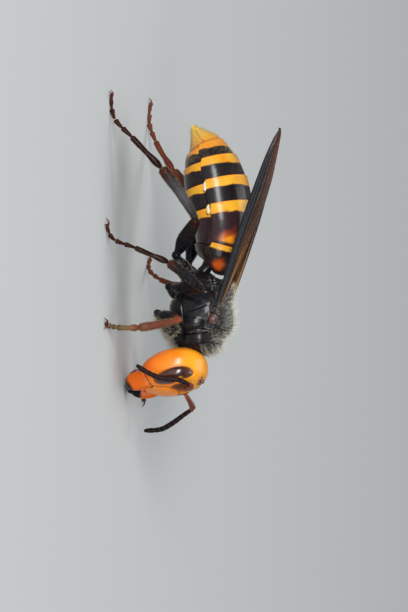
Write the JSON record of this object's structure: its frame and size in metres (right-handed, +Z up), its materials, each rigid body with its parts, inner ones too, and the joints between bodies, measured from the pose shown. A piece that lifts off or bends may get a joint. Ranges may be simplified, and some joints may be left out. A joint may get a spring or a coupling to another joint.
{
  "type": "asian giant hornet",
  "caption": "Life-size still hornet that stands on its feet, with folded wings, jointed legs, banded abdomen, bent feelers and biting jaws.",
  "frame": {"origin": "on the floor, at the middle of the box round the whole hornet", "axes": "+X towards the head, +Y to the hornet's left, +Z up"},
  "size_m": [0.0491, 0.0329, 0.0229],
  "materials": {
    "head": "glossy orange, yellower behind the eye, redder at the cheek",
    "eye": "very glossy dark brown, finely faceted",
    "jaw": "glossy orange with a black biting edge",
    "scape": "satin red-brown",
    "feeler": "dull black",
    "thorax": "satin black with short pale hairs",
    "abdomen": "glossy black-brown with yellow-orange bands",
    "leg": "satin black-brown, front legs red-brown",
    "wing": "clear smoky amber film with dark veins",
    "tegula": "satin red-brown"
  },
  "bodies": {
    "root": {"abdomen_1": "abdomen", "abdomen_2": "abdomen", "abdomen_3": "abdomen", "abdomen_4": "abdomen", "abdomen_5": "abdomen", "abdomen_6": "abdomen", "antenna_left_flagellum": "feeler", "antenna_left_scape": "scape", "antenna_right_flagellum": "feeler", "antenna_right_scape": "scape", "coxa_front_left": "leg", "coxa_front_right": "leg", "coxa_hind_left": "leg", "coxa_hind_right": "leg", "coxa_middle_left": "leg", "coxa_middle_right": "leg", "eye_left": "eye", "eye_right": "eye", "femur_front_left": "leg", "femur_front_right": "leg", "femur_hind_left": "leg", "femur_hind_right": "leg", "femur_middle_left": "leg", "femur_middle_right": "leg", "foot_front_left": "leg", "foot_front_right": "leg", "foot_hind_left": "leg", "foot_hind_right": "leg", "foot_middle_left": "leg", "foot_middle_right": "leg", "forewing_left": "wing", "forewing_right": "wing", "head": "head", "hindwing_left": "wing", "hindwing_right": "wing", "mandible_left": "jaw", "mandible_right": "jaw", "mesothorax": "thorax", "petiole": "thorax", "propodeum": "thorax", "prothorax": "thorax", "tegula_left": "tegula", "tegula_right": "tegula", "tibia_front_left": "leg", "tibia_front_right": "leg", "tibia_hind_left": "leg", "tibia_hind_right": "leg", "tibia_middle_left": "leg", "tibia_middle_right": "leg"}
  },
  "joints": []
}
